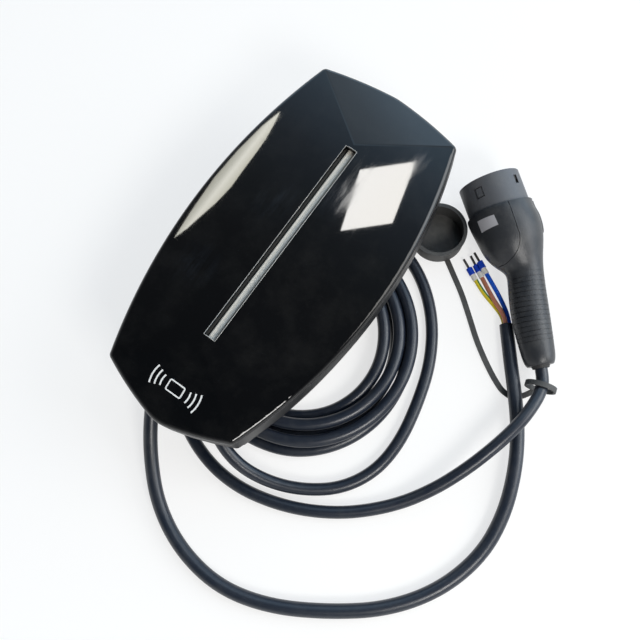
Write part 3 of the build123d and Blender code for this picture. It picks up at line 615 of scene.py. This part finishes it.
wire_skins = {
    "blue": wire_material("wire_blue", (0.008, 0.11, 0.72)),
    "brown": wire_material("wire_brown", (0.6, 0.22, 0.13), 0.34),
    "earth": stripe_material(),
}
wire_ways = {
    "blue": (3.0, 0.5, [(186.2, 105, 9.6), (168, 115, 9.4), (158, 120.4, 9.4)]),
    "brown": (-1.2, 2.9, [(182.8, 99.4, 7.5), (166, 110.5, 3.5), (156, 116.5, 3.5)]),
    "earth": (-1.5, -2.9, [(184, 97, 3.0), (172.5, 100.5, 3.0), (163, 104.6, 3.4), (152.4, 110.3, 3.4)]),
}
for colour, (beside, above, way) in wire_ways.items():
    start = sheath_end - sheath_side * beside * MM + sheath_up * above * MM
    points = [tuple(start), tuple(start + sheath_back * wire_straight)] + placed(way, floor_z)
    wire = lay_cord(f"wire_{colour}", points, wire_diameter, wire_skins[colour])
    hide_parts(f"conductor_{colour}")
    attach(wire, "root")
sleeve_white = finish_material(
    "sleeve_white", (0.88, 0.86, 0.8), 0.42, grain=(1200.0, 0.08), dust=(0.1, 160.0)
)
dress(sleeve_white, "ferrule_sleeves")
collar_blue = finish_material(
    "collar_blue", (0.006, 0.06, 0.6), 0.35, grain=(1200.0, 0.06), dust=(0.05, 160.0)
)
dress(collar_blue, "ferrule_collars")
pin_metal = finish_material(
    "pin_metal", (0.17, 0.165, 0.16), 0.42,
    grain=(2000.0, 0.15), drift=(0.2, 300.0), dust=(0.1, 300.0), Metallic=0.85,
)
dress(pin_metal, "ferrule_pins")


# Charging cable: 12.5 mm of softer rubber sheath in one length. It leaves the right gland, goes once
# round outside, lies in a loose coil of two layers under the box, and runs out to the connector.
charge_diameter = 12.5 * MM
charge_rest = floor_z + charge_diameter / 2
charge_x = 4.0 * MM
charge_points = [(charge_x, inside_y, gland_z), (charge_x, -117.0 * MM, gland_z)]
charge_points += placed([
    (14, -149, 17), (36, -174.5, 7), (68, -185.5, -6), (101, -182, -17), (133, -169, -23),
])
charge_points += placed([
    (163, -146, 0), (181, -114, 0), (185, -78, 0), (179, -38, 0), (166, 8, 0),
    (141, 50, 0), (104, 82, 0), (58, 98, 0), (10, 91, 0), (-31, 70, 0),
], charge_rest)

# The coil is counted in degrees of turn and in millimetres. It winds inward on the table, climbs
# to a second layer, winds outward on the first one, and at last swings out and drops beside it.
coil_x, coil_y, coil_radius = 43.0, -42.0, 116.0
coil_from, coil_to, points_per_turn = 142.0, 1992.0, 16
joined_at, join_from = 195.0, 13.0
inward_pitch, outward_pitch = 13.2, 13.1
climb_from, climb_to, layer_rise = 1020.0, 1110.0, 12.7
swing_at, swing_out = 1900.0, 16.0
drop_at, drop_by = 1965.0, 6.0
loose_spots, loose_reach = ((305.0, 10.0), (665.0, 5.0), (1115.0, -3.0), (1745.0, 4.0)), 75.0
wander_by, wander_rate, wander_start = 1.3, 2.02, 40.0


def share(value, low, high):
    """How far a value has come from low to high, from 0 to 1."""
    return min(max((value - low) / (high - low), 0.0), 1.0)


coil_points = []
steps = round((coil_to - coil_from) / 360.0 * points_per_turn)
for i in range(steps + 1):
    turn = coil_from + (coil_to - coil_from) * i / steps
    radius = coil_radius + join_from * share(turn, joined_at, coil_from)
    radius -= inward_pitch * max(min(turn, climb_from) - joined_at, 0.0) / 360.0
    radius += outward_pitch * max(turn - climb_to, 0.0) / 360.0
    radius += swing_out * share(turn, swing_at, coil_to)
    for spot, more in loose_spots:
        radius += more * max(1.0 - abs(turn - spot) / loose_reach, 0.0)
    radius += wander_by * math.sin(math.radians(wander_rate * turn + wander_start))
    lift = layer_rise * share(turn, climb_from, climb_to) - drop_by * share(turn, drop_at, coil_to)
    angle = math.radians(turn)
    coil_points.append((coil_x + radius * math.cos(angle), coil_y + radius * math.sin(angle), lift))
charge_points += placed(coil_points, charge_rest)
charge_points += placed([
    (-70, -114, 0), (-40, -156, 0), (0, -186, 0), (40, -201, 0), (79, -203.5, 0), (118, -195, 0),
    (153, -180, 0), (186, -158, 0), (216.5, -127, 1.75), (237, -95, 7.75), (251, -63, 14.75),
    (261, -32, 20.75), (268, -3, 22.75), (270.5, 21, 21.25), (269.8, 41, 17.75), (265.8, 54.6, 13.2),
    (256.1, 64.6, 14.4),
], charge_rest)
charge_sheath = sheath_material("charge_sheath", (0.009, 0.014, 0.025), 0.34)
charge_cord = lay_cord("charge_cord", charge_points, charge_diameter, charge_sheath)
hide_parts("charge_cable_start", "charge_cable_coil", "charge_cable_lead")
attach(charge_cord, "root")


# Connector: a charcoal glass-filled handle in one moulding with a screwed-on side panel, a sleeve
# round seven silver-plated contacts, and a rubber bush for the cable. The skin is finely eroded.
charcoal = finish_material(
    "charcoal_grip", (0.024, 0.026, 0.03), 0.38,
    grain=(1500.0, 0.3), drift=(0.16, 30.0), dust=(0.16, 60.0),
)
dress(charcoal, "connector_body", "connector_panel")
sleeve_skin = finish_material(
    "sleeve_skin", (0.085, 0.088, 0.096), 0.46,
    grain=(1700.0, 0.35), drift=(0.12, 24.0), dust=(0.2, 50.0),
)
dress(sleeve_skin, "connector_shroud")
contact_plastic = finish_material("contact_plastic", (0.022, 0.022, 0.024), 0.45, grain=(1400.0, 0.2))
dress(contact_plastic, "contact_carrier")
contact_silver = finish_material(
    "contact_silver", (0.78, 0.76, 0.71), 0.22, grain=(2600.0, 0.08), drift=(0.2, 140.0), Metallic=1.0
)
dress(contact_silver, "contact_sleeves")
bush_rubber = finish_material("bush_rubber", (0.02, 0.02, 0.021), 0.6, grain=(1500.0, 0.3))
dress(bush_rubber, "connector_bush")


# Type plate: a thin blank plate of brushed silver foil, stuck on the side panel near the sleeve.
# It follows the panel's curve.
plate_corners = [(126.8, 144.6), (137.2, 154.5), (146.2, 149.0), (136.6, 138.1)]
plate_lift, plate_thickness, plate_across, plate_along = 0.15 * MM, 0.35 * MM, 14, 10
panel_height = drop_on("connector_panel")
a, b, c, d = [Vector((x * MM, y * MM)) for x, y in plate_corners]
plate = bmesh.new()
rows = []
for i in range(plate_across + 1):
    row = []
    for j in range(plate_along + 1):
        u, v = i / plate_across, j / plate_along
        spot = (a * (1 - u) + b * u) * (1 - v) + (d * (1 - u) + c * u) * v
        row.append(plate.verts.new((spot.x, spot.y, panel_height(spot.x, spot.y) + plate_lift)))
    rows.append(row)
for i in range(plate_across):
    for j in range(plate_along):
        plate.faces.new((rows[i][j], rows[i + 1][j], rows[i + 1][j + 1], rows[i][j + 1]))
face_up(plate)
plate_mesh = bpy.data.meshes.new("type_plate")
plate.to_mesh(plate_mesh)
plate.free()
plate_foil = finish_material(
    "plate_foil", (0.5, 0.49, 0.51), 0.4,
    grain=(1800.0, 0.1), drift=(0.12, 120.0), dust=(0.1, 120.0), Metallic=0.25,
)
plate_mesh.materials.append(plate_foil)
type_plate = link_piece("type_plate", plate_mesh)
thicken = type_plate.modifiers.new("foil", "SOLIDIFY")
thicken.thickness = plate_thickness
thicken.offset = 1.0
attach(type_plate, "root")


# Dust cap and strap: one grade of soft matt rubber. The cap lies mouth up beside the box, and its
# flat strap ends in a ring that hangs loose on the lead.
cap_rubber = finish_material(
    "cap_rubber", (0.058, 0.058, 0.057), 0.62,
    grain=(1100.0, 0.25), drift=(0.12, 30.0), dust=(0.28, 45.0),
)
dress(cap_rubber, "dust_cap", "cap_strap")


# Studio: a plain white table, two soft boxes at the right, two bright panels high up that the gloss
# mirrors, and a dim room that is brighter at its far end. The camera stands nearly above, turned
# a little.
def soft_box(name, middle, size, power, colour):
    """Rectangular soft light that faces the object."""
    lamp = bpy.data.lights.new(name, "AREA")
    lamp.shape = "RECTANGLE"
    lamp.size, lamp.size_y = size
    lamp.energy = power
    lamp.color = colour
    light = link_piece(name, lamp)
    aim = Vector((0.1, 0.0, 0.0))
    light.location = middle
    light.rotation_euler = (aim - Vector(middle)).to_track_quat("-Z", "Y").to_euler()
    light.visible_camera = False


def table_material():
    """White paint, which shows as a bright backdrop and keeps a soft shadow."""
    white, shown, shine = (0.92, 0.92, 0.92, 1.0), (0.31, 0.308, 0.3, 1.0), 0.69
    material = bpy.data.materials.new("table_paint")
    material.use_nodes = True
    tree = material.node_tree
    shader = tree.nodes["Principled BSDF"]
    shader.inputs["Roughness"].default_value = 0.8
    shader.inputs["Specular IOR Level"].default_value = 0.1
    ray = tree.nodes.new("ShaderNodeLightPath").outputs
    mirrored = sums(tree, "MAXIMUM", ray["Is Glossy Ray"], ray["Is Transmission Ray"])
    looked_at = sums(tree, "MAXIMUM", ray["Is Camera Ray"], mirrored)
    tree.links.new(mixed(tree, looked_at, white, shown), shader.inputs["Base Color"])
    shader.inputs["Emission Color"].default_value = (1.0, 1.0, 1.0, 1.0)
    tree.links.new(sums(tree, "MULTIPLY", looked_at, shine), shader.inputs["Emission Strength"])
    return material


table_half = 6.0
table = bpy.data.meshes.new("table")
table.from_pydata(
    [(x * table_half, y * table_half, floor_z) for x, y in ((-1, -1), (1, -1), (1, 1), (-1, 1))],
    [], [(0, 1, 2, 3)],
)
table.materials.append(table_material())
link_piece("table", table)
soft_box("key_box", (1.9, 1.3, 1.45), (2.0, 1.6), 38.0, (1.0, 0.975, 0.94))
soft_box("fill_box", (1.45, -0.55, 1.5), (0.7, 0.6), 22.0, (1.0, 0.98, 0.95))


def glow_panel(name, outline, strength, fade):
    """Flat bright panel high above the table, which the gloss mirrors. Its colour changes along X."""
    height = 1.8
    mesh = bpy.data.meshes.new(name)
    mesh.from_pydata([(x, y, height) for x, y in outline], [], [tuple(range(len(outline)))])
    material = bpy.data.materials.new(name)
    material.use_nodes = True
    tree = material.node_tree
    shader = tree.nodes["Principled BSDF"]
    split = tree.nodes.new("ShaderNodeSeparateXYZ")
    tree.links.new(object_place(tree), split.inputs[0])
    low, high = fade[0][0], fade[-1][0]
    stops = [((x - low) / (high - low), colour) for x, colour in fade]
    glow = colour_ramp(tree, ranged(tree, split.outputs["X"], low, high), stops)
    tree.links.new(glow, shader.inputs["Emission Color"])
    shader.inputs["Emission Strength"].default_value = strength
    mesh.materials.append(material)
    panel = link_piece(name, mesh)
    panel.visible_camera = False


skylight_edge = [(0.333, 0.739), (0.466, 0.888), (0.523, 0.675), (0.401, 0.543)]
skylight_fade = [(0.333, (1.0, 0.985, 0.95)), (0.523, (1.0, 0.97, 0.92))]
glow_panel("skylight", skylight_edge, 21.0, skylight_fade)
window_edge = [
    (-2.013, 0.334), (-1.987, 0.396), (-1.969, 0.467), (-1.945, 0.55), (-1.932, 0.642),
    (-1.937, 0.731), (-1.939, 0.809), (-1.945, 0.899), (-1.959, 0.968), (-1.979, 1.042),
    (-2.012, 0.95), (-2.037, 0.807), (-2.048, 0.65), (-2.032, 0.467),
]
window_fade = [
    (-2.048, (0.5, 0.49, 0.41)), (-2.015, (0.68, 0.67, 0.58)),
    (-1.985, (1.0, 0.98, 0.87)), (-1.932, (0.72, 0.7, 0.58)),
]
glow_panel("window", window_edge, 15.0, window_fade)

world = bpy.data.worlds.new("room")
scene.world = world
world.use_nodes = True
room = world.node_tree
look = room.nodes.new("ShaderNodeSeparateXYZ")
room.links.new(room.nodes.new("ShaderNodeTexCoord").outputs["Generated"], look.inputs[0])
backward = ranged(room, look.outputs["Y"], -1.0, 1.0)
far_wall = colour_ramp(room, backward, [
    (0.25, (0.05, 0.06, 0.07)), (0.5, (0.05, 0.055, 0.06)), (0.6, (0.1, 0.11, 0.12)),
    (0.635, (0.16, 0.19, 0.22)), (0.665, (0.27, 0.34, 0.43)), (0.6925, (0.52, 0.72, 0.95)),
    (0.71, (0.75, 1.1, 1.45)), (0.8, (0.8, 1.05, 1.3)), (0.895, (0.55, 0.7, 0.86)),
    (0.9075, (0.85, 1.1, 1.35)), (0.92, (1.2, 1.7, 2.2)),
])
low_walls = colour_ramp(room, look.outputs["Z"], [
    (0.0, (1.1, 1.1, 1.1)), (0.1, (0.95, 0.95, 0.95)), (0.22, (0.5, 0.5, 0.5)),
    (0.42, (0.3, 0.3, 0.31)), (0.7, (0.0, 0.0, 0.0)),
])
near_side = colour_ramp(room, backward, [(0.35, (1.0, 1.0, 1.0)), (0.6, (0.3, 0.3, 0.3))])
near_walls = mixed(room, 1.0, low_walls, near_side, "MULTIPLY")
room.links.new(mixed(room, 1.0, far_wall, near_walls, "ADD"), room.nodes["Background"].inputs["Color"])

scene.view_settings.view_transform = "Standard"
lens = bpy.data.cameras.new("camera")
lens.lens = 45.0
lens.sensor_width = 36.0
lens.clip_end = 50.0
camera = link_piece("camera", lens)
right = Vector((0.8138, 0.5790, -0.0505))
down = Vector((0.5512, -0.7964, -0.2489))
ahead = Vector((-0.1843, 0.1747, -0.9672))
turned = Matrix((right, -down, -ahead)).transposed().to_4x4()
camera.matrix_world = Matrix.Translation((0.1999, -0.1631, 0.7733)) @ turned
scene.camera = camera
